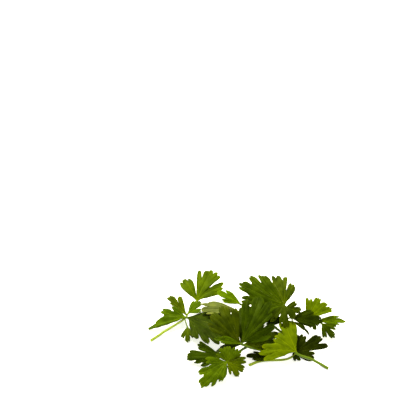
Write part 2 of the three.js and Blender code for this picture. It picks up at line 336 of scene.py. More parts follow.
class Cut(Enum):
    """The outlines that parsley leaflets take."""

    THREE = Outline((Lobe(-1, -0.46, 0.72, 2, 0.12, 0.18), Lobe(-0.36, 0.36, 1, 3, 0.2, 0),
                     Lobe(0.46, 1, 0.72, 2, 0.12, -0.18)), (0.42, 0.42))
    FAN = Outline((Lobe(-1, -0.6, 0.84, 2, 0.1, 0.06), Lobe(-0.54, -0.06, 1, 3, 0.1, 0.02),
                   Lobe(0.02, 0.5, 1, 3, 0.1, -0.02), Lobe(0.58, 1, 0.86, 2, 0.1, -0.06)),
                  (0.7, 0.74, 0.7))
    STRAP = Outline((Lobe(-1, -0.34, 0.62, 1, 0, 0.2), Lobe(-0.26, 0.26, 1, 2, 0.14, 0),
                     Lobe(0.34, 1, 0.62, 1, 0, -0.2)), (0.5, 0.5))
    CLAW = Outline((Lobe(-1, -0.42, 0.8, 2, 0.12, 0.05), Lobe(-0.32, 0.28, 1, 3, 0.16, 0),
                    Lobe(0.38, 1, 0.84, 2, 0.12, -0.06)), (0.46, 0.5))
    CROWN = Outline((Lobe(-1, -0.6, 0.8, 3, 0, 0.26), Lobe(-0.54, -0.1, 1.03, 4, 0.05, -0.02),
                     Lobe(-0.06, 0.1, 0.92, 1, 0, 0), Lobe(0.26, 1, 0.74, 3, 0.2, 0)),
                    (0.2, 0.64, 0.14))
    LONG = Outline((Lobe(-1, -0.7, 0.42, 2, 0.1, 0.1), Lobe(-0.64, -0.34, 0.62, 2, 0.06, 0.08),
                    Lobe(-0.28, 1, 1, 5, 0.5, 0)), (0.34, 0.54))
    UNDER = Outline((Lobe(-1, -0.56, 0.68, 3, 0.08, 0.06), Lobe(-0.5, -0.1, 0.88, 3, 0.1, 0.02),
                     Lobe(-0.04, 0.38, 1, 3, 0.1, 0), Lobe(0.46, 1, 0.8, 3, 0.12, -0.05)),
                    (0.56, 0.74, 0.66))
    CREST = Outline((Lobe(-1, -0.7, 0.86, 3, 0.06, 0.1), Lobe(-0.64, -0.44, 1.04, 2, 0.08, 0.02),
                     Lobe(-0.38, -0.08, 1.12, 3, 0.06, 0.0), Lobe(0, 0.3, 0.98, 2, 0.08, 0),
                     Lobe(0.38, 1, 0.9, 4, 0.1, -0.06)), (0.68, 0.86, 0.84, 0.7))
    PAIR = Outline((Lobe(-1, -0.44, 0.68, 3, 0.08, 0.12), Lobe(-0.34, -0.14, 0.92, 1, 0, 0),
                    Lobe(-0.1, 0.58, 1, 2, 0.06, 0), Lobe(0.64, 1, 0.82, 1, 0, -0.08)),
                   (0.42, 0.76, 0.8))
    WING = Outline((Lobe(-1, -0.36, 0.98, 4, 0.1, 0.08), Lobe(-0.26, 0.3, 0.76, 3, 0.06, 0),
                    Lobe(0.4, 1, 1.02, 3, 0.1, -0.04)), (0.58, 0.62))
    PALM = Outline((Lobe(-1, -0.46, 0.78, 3, 0.06, -0.02), Lobe(-0.36, 0.24, 1, 4, 0.08, 0.06),
                    Lobe(0.3, 0.52, 0.8, 2, 0.1, -0.05), Lobe(0.58, 1, 0.64, 2, 0.1, -0.03)),
                   (0.4, 0.74, 0.6))
    LOW = Outline((Lobe(-1, -0.54, 0.6, 2, 0.1, 0.02), Lobe(-0.48, -0.24, 0.88, 2, 0.1, 0),
                   Lobe(-0.18, 0.2, 1, 4, 0.08, -0.02), Lobe(0.26, 0.44, 0.82, 2, 0.08, 0),
                   Lobe(0.5, 1, 0.56, 3, 0.1, -0.26)), (0.54, 0.76, 0.74, 0.58))
    FRILL = Outline((Lobe(-1, -0.7, 0.68, 1, 0, 0), Lobe(-0.62, -0.2, 0.96, 3, 0.1, 0.03),
                     Lobe(-0.12, 0.3, 1, 3, 0.08, 0), Lobe(0.38, 0.8, 1.04, 2, 0.1, 0),
                     Lobe(0.86, 1, 0.8, 1, 0, 0)), (0.56, 0.72, 0.74, 0.74))
    BROAD = Outline((Lobe(-1, -0.46, 1, 3, 0.05, -0.04), Lobe(-0.4, 0.08, 0.95, 3, 0.08, -0.03),
                     Lobe(0.14, 0.5, 0.92, 3, 0.06, 0), Lobe(0.56, 1, 0.8, 2, 0.04, 0)),
                    (0.8, 0.76, 0.72))
    HOOK = Outline((Lobe(-1, -0.24, 0.6, 3, 0.12, 0.08), Lobe(-0.18, 0.03, 1.03, 1, 0, 0),
                    Lobe(0.08, 0.37, 0.9, 3, 0.08, -0.06), Lobe(0.47, 1, 0.6, 3, 0.1, -0.06)),
                   (0.42, 0.74, 0.46))


class Tone(Enum):
    """The greens of the leaflets and stalks, as linear colours, some partly painted light and
    shade.
    """

    # NIGHT, DARK and SHADE are partly painted shade: besides darker leaves, they darken leaflets
    # that lie in shade under others.
    NIGHT = (0.008, 0.014, 0.0002)
    DARK = (0.013, 0.023, 0.0002)
    SHADE = (0.018, 0.032, 0.0002)
    OLIVE = (0.022, 0.036, 0.0002)
    DEEP = (0.028, 0.050, 0.0003)
    MID = (0.044, 0.074, 0.0003)
    FRESH = (0.068, 0.110, 0.0003)
    YOUNG = (0.082, 0.133, 0.0003)
    PALE = (0.106, 0.122, 0.030)
    # LIME is partly painted light: painted highlights on a stalk, and a stalk lightened out of the
    # shade of a leaflet over it.
    LIME = (0.220, 0.290, 0.012)


# --------------------------------------------------------------------------- stalks


@dataclass(frozen=True)
class Stalk:
    """A tapering stalk along a smooth route.

    Attributes:
        route: the points it passes through, in mm.
        thick: its radius at the start.
        thin: its radius at the end.
        tone: its green, which for LIME is partly painted light.
        ridges: height of its lengthwise ridges over its radius.
        swell: how much it swells where it ends in leaflets.
        lift: how much paler it is than its tone.
    """

    route: tuple[Triple, ...]
    thick: float
    thin: float
    tone: Tone = Tone.FRESH
    ridges: float = 0.06
    swell: float = 0.22
    lift: float = 1.0

    # The section's sides and ridges, and the steps along the route, in mm.
    SIDES = 16
    RIDGE_COUNT = 5
    FINE_STEPS = 240
    FEWEST_STEPS = 6
    STEP = 0.9
    # Length of the swelling at its end and the stalk's least height, in mm.
    SWELL_LENGTH = 1.6
    FLOOR_GAP = 0.02
    # The cut end: width and depth of its rind over the radius, and how pale its pith is.
    RIND = 0.3
    PITH_LIFT = 2.2

    def spline(self, share: float) -> Vector:
        """Find a point of the Catmull-Rom curve through the route.

        Args:
            share: share of the curve's segments.

        Returns:
            The point in mm.
        """
        points = [Vector(point) for point in self.route]
        points = [points[0] * 2.0 - points[1], *points, points[-1] * 2.0 - points[-2]]
        spans = len(points) - 3
        place = min(max(share, 0.0), 1.0) * spans
        span = min(int(place), spans - 1)
        part = place - span
        p0, p1, p2, p3 = points[span:span + 4]
        return 0.5 * (2.0 * p1 + (p2 - p0) * part
                      + (2.0 * p0 - 5.0 * p1 + 4.0 * p2 - p3) * part**2
                      + (3.0 * p1 - p0 - 3.0 * p2 + p3) * part**3)

    def centres(self) -> tuple[list[Vector], float]:
        """Walk the route in equal steps.

        Returns:
            The points, and the length of the route in mm.
        """
        fine = [self.spline(step / self.FINE_STEPS) for step in range(self.FINE_STEPS + 1)]
        run = [0.0]
        for before, after in zip(fine, fine[1:]):
            run.append(run[-1] + (after - before).length)
        steps = max(self.FEWEST_STEPS, math.ceil(run[-1] / self.STEP))
        made: list[Vector] = []
        spot = 0
        for step in range(steps + 1):
            goal = run[-1] * step / steps
            while spot < self.FINE_STEPS - 1 and run[spot + 1] < goal:
                spot += 1
            share = (goal - run[spot]) / max(run[spot + 1] - run[spot], TINY)
            made.append(fine[spot].lerp(fine[spot + 1], min(share, 1.0)))
        return made, run[-1]

    def axes(self, centres: list[Vector]) -> list[tuple[Vector, Vector]]:
        """Set up the section at each point so that it doesn't twist along the route.

        Args:
            centres: the points.

        Returns:
            The section's two axes at each.
        """
        made: list[tuple[Vector, Vector]] = []
        first = Vector((0.0, 0.0, 1.0))
        last = len(centres) - 1
        for step in range(last + 1):
            ahead = centres[min(step + 1, last)] - centres[max(step - 1, 0)]
            ahead.normalize()
            first = (first - ahead * first.dot(ahead)).normalized()
            made.append((first, ahead.cross(first)))
        return made

    def radius(self, share: float, length: float, turn: float) -> float:
        """Work out the radius of the skin.

        Args:
            share: share of the way along.
            length: the route's length in mm.
            turn: turn about the section in radians.

        Returns:
            The radius in mm.
        """
        end = math.exp(-(((1.0 - share) * length / self.SWELL_LENGTH) ** 2))
        ridge = 1.0 + self.ridges * math.cos(self.RIDGE_COUNT * turn)
        return mix(self.thick, self.thin, share) * ridge * (1.0 + self.swell * end)

    def build(self, mesh: bmesh.types.BMesh) -> None:
        """Add the stalk to a mesh: a drum, cut along its length and bent to the route.

        Args:
            mesh: the mesh of the sprig's stalks.
        """
        centres, length = self.centres()
        axes = self.axes(centres)
        steps = len(centres) - 1
        skin_layer = mesh.verts.layers.float_vector["skin"]
        tone_layer = mesh.verts.layers.float_color["tone"]
        drum = bmesh.ops.create_cone(mesh, cap_ends=True, segments=self.SIDES, radius1=1.0,
                                     radius2=1.0, depth=1.0)["verts"]
        edges = dict.fromkeys(edge for vert in drum for edge in vert.link_edges)
        upright = [edge for edge in edges
                   if abs(edge.verts[0].co.z - edge.verts[1].co.z) > 0.5]
        bmesh.ops.subdivide_edges(mesh, edges=upright, cuts=steps - 1, use_grid_fill=True)
        # The stalks made before this one have their radius written in the layer.
        verts = [vert for vert in mesh.verts if vert[skin_layer].z == 0.0]
        for vert in verts:
            share = vert.co.z + 0.5
            station = round(share * steps)
            turn = math.atan2(vert.co.y, vert.co.x)
            radius = self.radius(share, length, turn)
            first, second = axes[station]
            vert.co = (centres[station] + first * (math.cos(turn) * radius)
                       + second * (math.sin(turn) * radius))
            vert.co.z = max(vert.co.z, self.FLOOR_GAP)
            vert[skin_layer] = (turn / math.pi, share * length, radius)
            vert[tone_layer] = (*[channel * self.lift for channel in self.tone.value], 1.0)
        caps: list[bmesh.types.BMFace] = []
        for face in dict.fromkeys(face for vert in verts for face in vert.link_faces):
            face.smooth = len(face.verts) == 4
            if len(face.verts) > 4:
                caps.append(face)
                for edge in face.edges:
                    edge.smooth = False
        caps.sort(key=lambda cap: cap.verts[0][skin_layer].y, reverse=True)
        self.hollow(mesh, caps)

    def hollow(self, mesh: bmesh.types.BMesh, caps: list[bmesh.types.BMFace]) -> None:
        """Sink the pith of a cut end and pale it.

        The end taken first still has the drum's normal, so its rim comes out wider than the
        skin, by about a third of the radius at most. That is the tip's, at a blade's foot or a
        rib's fine end, and not the foot's, where a cut can show.

        Args:
            mesh: the mesh of the sprig's stalks.
            caps: the stalk's two end faces, the tip's before the foot's.
        """
        tone_layer = mesh.verts.layers.float_color["tone"]
        pith = tuple(channel * self.lift * self.PITH_LIFT for channel in self.tone.value)
        for cap in caps:
            radius = (cap.verts[0].co - cap.calc_center_median()).length
            rind = self.RIND * radius
            for thickness, depth in ((rind, 0.0), (0.5 * rind, -rind)):
                bmesh.ops.inset_individual(mesh, faces=[cap], thickness=thickness, depth=depth)
                for vert in cap.verts:
                    vert[tone_layer] = (*pith, 1.0)


# --------------------------------------------------------------------------- leaflets


@dataclass(frozen=True)
class Sway:
    """How one lobe stands off the leaflet's broad shape, beyond its clefts.

    Attributes:
        start: radius from which it does.
        bend: how far it bends up.
        twist: how far it twists about its main vein.
    """

    start: float
    bend: float
    twist: float


@dataclass(frozen=True)
class Leaflet:
    """One toothed leaflet.

    Attributes:
        cut: its outline.
        tone: its green, which for NIGHT, DARK and SHADE is partly painted shade.
        foot: where it springs from its stalk, in mm.
        tip: the end of its axis, in mm.
        spread: half angles to the right and left of the axis, in degrees.
        roll: turn about the axis, in degrees.
        fold: how far it folds along its midrib.
        arch: height of its arch, as a share of its length.
    """

    cut: Cut
    tone: Tone
    foot: Triple
    tip: Triple
    spread: tuple[float, float]
    roll: float
    fold: float = 0.08
    arch: float = 0.06

    # The grid: its rows, how they crowd towards the foot, and what is merged, in mm.
    ROWS = 15
    ROW_EASE = 0.8
    MERGE = 1e-5
    # The blade's thickness, how deep it stands in its stalk and its least height, in mm.
    THICK = 0.45
    SINK = 0.8
    FLOOR_GAP = 0.1
    # The broad shape: the margins' droop, the waves round the edge and the midrib's softness.
    CURL = 0.15
    WAVE = 0.03
    WAVES = 5.0
    GOLDEN_ANGLE = 2.4
    CREASE = 0.05
    # The fine shape: depth and width of the folds along the veins, puckers and edge.
    LOBE_GROOVE = 0.013
    TOOTH_GROOVE = 0.013
    GROOVE = 0.028
    GROWTH = 1.6
    PUCKER = 0.007
    PUCKER_WAVES = 23.0
    EDGE_DROOP = 0.015
    DROOP_POWER = 6
    # How far a lobe may bend and twist beyond its clefts.
    LOBE_BEND = 0.22
    LOBE_TWIST = 0.30
    BEND_POWER = 1.5
    # Where side veins may branch off, and how far back from their tips.
    LOWEST_BRANCH = 0.12
    BRANCH_RUN = 1.7
    # How uneven the leaflets' greens are, and how far apart their patterns start, in mm.
    TONE_UNEVEN = 0.08
    PATTERN_SHIFT = 900.0
    # The ribs: radii and depth in mm, their end as a share of the lobe, and their paleness.
    RIB_ROOT = 0.42
    RIB_TIP = 0.10
    RIB_SUNK = 0.30
    RIB_END = 0.62
    RIB_LIFT = 2.0
    RIB_POINTS = 7

    def axes(self) -> tuple[Matrix, float]:
        """Work out how the leaflet stands.

        Returns:
            The matrix whose columns are along, left and up, and the leaflet's length in mm.
        """
        along = Vector(self.tip) - Vector(self.foot)
        length = along.length + self.SINK
        along.normalize()
        up = Vector((0.0, 0.0, 1.0)) - along * along.z
        up.normalize()
        up.rotate(Matrix.Rotation(math.radians(self.roll), 3, along))
        left = up.cross(along)
        return Matrix((along, left, up)).transposed(), length

    def rise(self, flat: Vector, index: int) -> float:
        """Height of the blade's broad shape over its own plane.

        Args:
            flat: the flat point.
            index: the leaflet's number on its sprig.

        Returns:
            The height, as all these, as a share of the length.
        """
        turn = math.degrees(math.atan2(flat.y, flat.x))
        side = turn / self.spread[turn > 0]
        radius = flat.length
        arch = self.arch * 4.0 * radius * (1.0 - radius)
        fold = self.fold * (math.hypot(flat.y, self.CREASE) - self.CREASE)
        wave = self.WAVE * radius**2 * math.sin(self.WAVES * side + self.GOLDEN_ANGLE * index)
        return arch + fold - self.CURL * flat.y**2 + wave

    def place(self, flat: Vector, index: int, lift: float = 0.0) -> Vector:
        """Find a point of the blade's middle surface.

        Args:
            flat: the flat point, as a share of the length.
            index: the leaflet's number on its sprig.
            lift: height over the blade's broad shape, as a share of the length.

        Returns:
            The point in mm, in the table's frame.
        """
        axes, length = self.axes()
        local = Vector((flat.x, flat.y, self.rise(flat, index) + lift)) * length
        local.x -= self.SINK
        return Vector(self.foot) + axes @ local

    def relief(self, flat: Vector, main: Vector, side: Vector, out: float, sway: Sway) -> float:
        """Height of the finer shape: lobes and teeth folded along their veins, and puckers.

        Args:
            flat: the flat point.
            main: the point of the lobe's main vein abreast of it.
            side: the point of the tooth's vein abreast of it.
            out: share of the way to the edge.
            sway: how the lobe bends and twists.

        Returns:
            The height as a share of the length.
        """
        grown = smooth_step(self.GROWTH * flat.length)
        lobe = self.LOBE_GROOVE * (1.0 - math.exp(-(flat - main).length / self.GROOVE))
        tooth = self.TOOTH_GROOVE * (1.0 - math.exp(-(flat - side).length / self.GROOVE))
        free = max(0.0, flat.length - sway.start)
        turned = main.x * flat.y - main.y * flat.x
        bend = sway.bend * free**self.BEND_POWER + sway.twist * turned * free
        pucker = self.PUCKER * (math.sin(self.PUCKER_WAVES * flat.x + self.tip[0])
                                * math.sin(self.PUCKER_WAVES * flat.y + self.tip[1]))
        return (lobe + tooth + pucker) * grown + bend - self.EDGE_DROOP * out**self.DROOP_POWER

    def sways(self, draw: random.Random) -> list[Sway]:
        """Draw how each lobe bends and twists beyond its clefts.

        Args:
            draw: the sprig's random draw.

        Returns:
            One for each lobe.
        """
        outline = self.cut.value
        made: list[Sway] = []
        for index in range(len(outline.lobes)):
            near = outline.clefts[max(index - 1, 0):index + 1]
            made.append(Sway(max(near), draw.uniform(-self.LOBE_BEND, self.LOBE_BEND),
                             draw.uniform(-self.LOBE_TWIST, self.LOBE_TWIST)))
        return made

    def build(self, mesh: bmesh.types.BMesh, index: int, draw: random.Random) -> list[Stalk]:
        """Add the leaflet to a mesh as a closed blade.

        Args:
            mesh: the mesh of the sprig's leaflets.
            index: the leaflet's number on its sprig.
            draw: the sprig's random draw.

        Returns:
            The ribs that run out under it.
        """
        lines = self.cut.value.lines(self.spread, draw)
        sways = self.sways(draw)
        side_veins, main_veins = self.veins(lines)
        tone_layer = mesh.verts.layers.float_color["tone"]
        flat_layer = mesh.verts.layers.float_vector["flat"]
        vein_layer = mesh.verts.layers.float_vector["vein"]
        fan_layer = mesh.verts.layers.float_vector["fan"]
        _, length = self.axes()
        shift = Vector([draw.uniform(0.0, self.PATTERN_SHIFT) for _ in range(2)])
        tone = [channel * draw.uniform(1.0 - self.TONE_UNEVEN, 1.0 + self.TONE_UNEVEN)
                for channel in self.tone.value]
        made = bmesh.ops.create_grid(mesh, x_segments=len(lines) - 1, y_segments=self.ROWS,
                                     size=1.0)["verts"]
        for vert in made:
            line = lines[round((1.0 - vert.co.x) / 2.0 * (len(lines) - 1))]
            out = ((vert.co.y + 1.0) / 2.0) ** self.ROW_EASE
            flat = line.point(out)
            main = main_veins[line.lobe].abreast(flat)
            side = side_veins[line.tooth].nearest(flat)
            lift = self.relief(flat, main, side, out, sways[line.lobe])
            vert.co = self.place(flat, index, lift)
            vert[tone_layer] = (*tone, 1.0)
            vert[flat_layer] = (*(flat * length + shift), out)
            vert[vein_layer] = ((flat - side).length * length, (flat - main).length * length,
                                flat.length)
            vert[fan_layer] = (math.atan2(flat.y, flat.x), flat.length * length, shift.x)
        bmesh.ops.remove_doubles(mesh, verts=made, dist=self.MERGE)
        self.thicken(mesh, [vert for vert in made if vert.is_valid])
        return self.ribs(index, main_veins, sways)

    def veins(self, lines: list[Line]) -> tuple[dict[int, Vein], dict[int, Line]]:
        """Lay out the veins: a main one up each lobe, and one that branches off to each tooth.

        Args:
            lines: the leaflet's lines.

        Returns:
            The vein of each tooth, and the line of each lobe's main vein.
        """
        side_veins: dict[int, Vein] = {}
        main_veins: dict[int, Line] = {}
        tooth = 0
        for index, lobe in enumerate(self.cut.value.lobes):
            longest = [max((line for line in lines if line.tooth == tooth + step),
                           key=lambda line: line.end.length) for step in range(lobe.teeth)]
            main = longest[lobe.teeth // 2]
            main_veins[index] = main
            for line in longest:
                gap = (line.end - main.abreast(line.end)).length
                back = max(self.LOWEST_BRANCH, line.end.length - gap * self.BRANCH_RUN)
                root = main.point(min(1.0, back / main.end.length))
                side_veins[tooth] = Vein(root, line.end)
                tooth += 1
        return side_veins, main_veins

    def thicken(self, mesh: bmesh.types.BMesh, sheet: list[bmesh.types.BMVert]) -> None:
        """Turn the leaflet's sheet into a closed blade with an underside and a rim.

        Args:
            mesh: the mesh that holds the sheet.
            sheet: the sheet's vertices.
        """
        mesh.normal_update()
        offset = {tuple(vert.co): vert.normal * self.THICK / 2.0 for vert in sheet}
        faces = list(dict.fromkeys(face for vert in sheet for face in vert.link_faces))
        made = bmesh.ops.extrude_face_region(mesh, geom=faces)["geom"]
        below = [item for item in made if isinstance(item, bmesh.types.BMVert)]
        for verts, side, least in ((sheet, 1.0, self.FLOOR_GAP + self.THICK),
                                   (below, -1.0, self.FLOOR_GAP)):
            for vert in verts:
                vert.co += offset[tuple(vert.co)] * side
                vert.co.z = max(vert.co.z, least)
        blade = list(dict.fromkeys(face for vert in sheet + below for face in vert.link_faces))
        bmesh.ops.recalc_face_normals(mesh, faces=blade)
        lower = set(below)
        for face in blade:
            buried = sum(vert in lower for vert in face.verts)
            face.smooth = True
            face.material_index = int(buried == len(face.verts))
            if 0 < buried < len(face.verts):
                for edge in face.edges:
                    edge.smooth = len({vert in lower for vert in edge.verts}) > 1

    def ribs(self, index: int, main_veins: dict[int, Line], sways: list[Sway]) -> list[Stalk]:
        """Lay out the raised veins under the leaflet, one along each lobe.

        Args:
            index: the leaflet's number on its sprig.
            main_veins: the line of each lobe's main vein.
            sways: how each lobe bends and twists.

        Returns:
            The veins as thin stalks.
        """
        axes, _ = self.axes()
        sunk = axes.col[2] * self.RIB_SUNK
        made: list[Stalk] = []
        for number, line in main_veins.items():
            route = []
            for step in range(self.RIB_POINTS):
                out = self.RIB_END * step / (self.RIB_POINTS - 1)
                flat = line.point(out)
                lift = self.relief(flat, flat, flat, out, sways[number])
                route.append(tuple(self.place(flat, index, lift) - sunk))
            made.append(Stalk(tuple(route), self.RIB_ROOT, self.RIB_TIP, self.tone,
                              ridges=0.0, swell=0.0, lift=self.RIB_LIFT))
        return made


# --------------------------------------------------------------------------- sprigs


@dataclass(frozen=True)
class Sprig:
    """A leafy stalk, which replaces one CAD node.

    Attributes:
        node: the CAD node's name.
        stalks: the main stalk and its side stalks.
        leaflets: its leaflets.
    """

    node: str
    stalks: tuple[Stalk, ...]
    leaflets: tuple[Leaflet, ...]

    def settle(self, mesh: bmesh.types.BMesh, name: str,
               materials: list[bpy.types.Material]) -> bpy.types.Object:
        """Move a finished mesh from the table's millimetres into the frame.

        Args:
            mesh: the mesh, which is freed.
            name: the piece's name.
            materials: what it is dressed in.

        Returns:
            The piece.
        """
        bmesh.ops.translate(mesh, vec=ORIGIN, verts=mesh.verts)
        bmesh.ops.scale(mesh, vec=(MM, MM, MM), verts=mesh.verts)
        return put_mesh(mesh, name, materials)

    def build_leaflets(self, upper: bpy.types.Material, under: bpy.types.Material,
                       draw: random.Random) -> tuple[bpy.types.Object, list[Stalk]]:
        """Make the piece of all the sprig's leaflets.

        Args:
            upper: finish of the upper side.
            under: finish of the underside.
            draw: the sprig's random draw.

        Returns:
            The piece, and the ribs that run out under its leaflets.
        """
        mesh = bmesh.new()
        mesh.verts.layers.float_color.new("tone")
        for layer in ("flat", "vein", "fan"):
            mesh.verts.layers.float_vector.new(layer)
        ribs: list[Stalk] = []
        for index, leaflet in enumerate(self.leaflets):
            ribs += leaflet.build(mesh, index, draw)
        return self.settle(mesh, f"{self.node}_leaflets", [upper, under]), ribs

    def build_stalks(self, skin: bpy.types.Material, ribs: list[Stalk]) -> bpy.types.Object:
        """Make the piece of the sprig's stalks and the ribs under its leaflets.

        Args:
            skin: the stalks' finish.
            ribs: the ribs.

        Returns:
            The piece.
        """
        mesh = bmesh.new()
        mesh.verts.layers.float_vector.new("skin")
        mesh.verts.layers.float_color.new("tone")
        for stalk in (*self.stalks, *ribs):
            stalk.build(mesh)
        return self.settle(mesh, f"{self.node}_stalks", [skin])


# --------------------------------------------------------------------------- finishes


class Signal:
    """A shader socket with arithmetic: an expression on signals adds its Math nodes."""

    def __init__(self, tree: bpy.types.NodeTree, socket: bpy.types.NodeSocket) -> None:
        """Keep the tree and the socket."""
        self.tree = tree
        self.socket = socket

    def math(self, operation: str, *values: "Signal | float", clamp: bool = False) -> "Signal":
        """Add a Math node.

        Args:
            operation: the node's operation.
            values: its inputs, signals or numbers.
            clamp: whether the result is held to 0 to 1.

        Returns:
            The result.
        """
        node = self.tree.nodes.new("ShaderNodeMath")
        node.operation = operation
        node.use_clamp = clamp
        for socket, value in zip(node.inputs, values):
            if isinstance(value, Signal):
                self.tree.links.new(value.socket, socket)
            else:
                socket.default_value = value
        return Signal(self.tree, node.outputs[0])

    def __add__(self, other: "Signal | float") -> "Signal":
        """Return self + other."""
        return self.math("ADD", self, other)

    __radd__ = __add__

    def __sub__(self, other: "Signal | float") -> "Signal":
        """Return self - other."""
        return self.math("SUBTRACT", self, other)

    def __rsub__(self, other: float) -> "Signal":
        """Return other - self."""
        return self.math("SUBTRACT", other, self)

    def __mul__(self, other: "Signal | float") -> "Signal":
        """Return self * other."""
        return self.math("MULTIPLY", self, other)

    __rmul__ = __mul__

    def __truediv__(self, other: "Signal | float") -> "Signal":
        """Return self / other."""
        return self.math("DIVIDE", self, other)

    def clamped(self) -> "Signal":
        """Return self held to 0 to 1."""
        return self.math("ADD", self, 0.0, clamp=True)

    def wave(self) -> "Signal":
        """Return the sine of self in radians."""
        return self.math("SINE", self)


def weigh(weights: tuple[float, ...], *signals: Signal) -> Signal:
    """Add up signals.

    Args:
        weights: the weight of each.
        signals: the signals.

    Returns:
        The sum of the signals, each times its weight.
    """
    parts = [signal * weight for weight, signal in zip(weights, signals, strict=True)]
    total = parts[0]
    for part in parts[1:]:
        total = total + part
    return total


class Bench:
    """A material's node tree, emptied and ready for a finish to be laid in it."""

    NOISE_DETAIL = 3.0

    def __init__(self, name: str) -> None:
        """Make the material with an output and nothing else.

        Args:
            name: the material's name.
        """
        self.material = bpy.data.materials.new(name)
        self.material.use_nodes = True
        self.tree = self.material.node_tree
        self.tree.nodes.clear()
        self.output = self.tree.nodes.new("ShaderNodeOutputMaterial")

    def node(self, kind: str, settings: dict[str, object] | None = None,
             inputs: dict[str | int, object] | None = None) -> bpy.types.Node:
        """Add a node.

        Args:
            kind: the node's type.
            settings: its properties, set first.
            inputs: its sockets by name or number, with a signal, a socket or a value for each.

        Returns:
            The node.
        """
        node = self.tree.nodes.new(kind)
        for key, value in (settings or {}).items():
            setattr(node, key, value)
        for key, value in (inputs or {}).items():
            socket = node.inputs[key]
            if isinstance(value, Signal):
                self.tree.links.new(value.socket, socket)
            elif isinstance(value, bpy.types.NodeSocket):
                self.tree.links.new(value, socket)
            else:
                socket.default_value = value
        return node

    def attribute(self, name: str) -> bpy.types.Node:
        """Return a node that reads one of the piece's own attributes."""
        return self.node("ShaderNodeAttribute", {"attribute_name": name})

    def split(self, vector: bpy.types.NodeSocket) -> tuple[Signal, ...]:
        """Return a vector's three parts as signals."""
        parts = self.node("ShaderNodeSeparateXYZ", inputs={0: vector}).outputs
        return tuple(Signal(self.tree, part) for part in parts)

    def join(self, *parts: Signal) -> bpy.types.NodeSocket:
        """Return the vector of three signals."""
        return self.node("ShaderNodeCombineXYZ", inputs=dict(enumerate(parts))).outputs[0]

    def noise(self, vector: bpy.types.NodeSocket, scale: float) -> Signal:
        """Return a noise of 0 to 1 with a scale in waves per unit of the vector."""
        made = self.node("ShaderNodeTexNoise", inputs={
            "Vector": vector, "Scale": scale, "Detail": self.NOISE_DETAIL})
        return Signal(self.tree, made.outputs[0])

    def bump(self, strength: float, height: Signal, distance: float) -> bpy.types.NodeSocket:
        """Add a Bump node.

        Args:
            strength: its strength.
            height: the relief.
            distance: how high a relief of 1 is, in metres.

        Returns:
            The socket of its normal.
        """
        return self.node("ShaderNodeBump", inputs={
            "Strength": strength, "Height": height, "Distance": distance}).outputs[0]

    def blend(self, share: Signal | float, low: object, high: object,
              mode: str = "MIX") -> bpy.types.NodeSocket:
        """Mix two colours.

        Args:
            share: how much of the second.
            low: the first colour or its socket.
            high: the second colour or its socket.
            mode: the node's blend type.

        Returns:
            The socket of the mixed colour.
        """
        # Sockets 0, 6 and 7 are the share and the two colours, and output 2 is the colour.
        made = self.node("ShaderNodeMix", {"data_type": "RGBA", "blend_type": mode},
                         {0: share, 6: low, 7: high})
        return made.outputs[2]

    def finish(self, surface: bpy.types.NodeSocket) -> bpy.types.Material:
        """Lead a shader to the output and return the material."""
        self.tree.links.new(surface, self.output.inputs["Surface"])
        return self.material


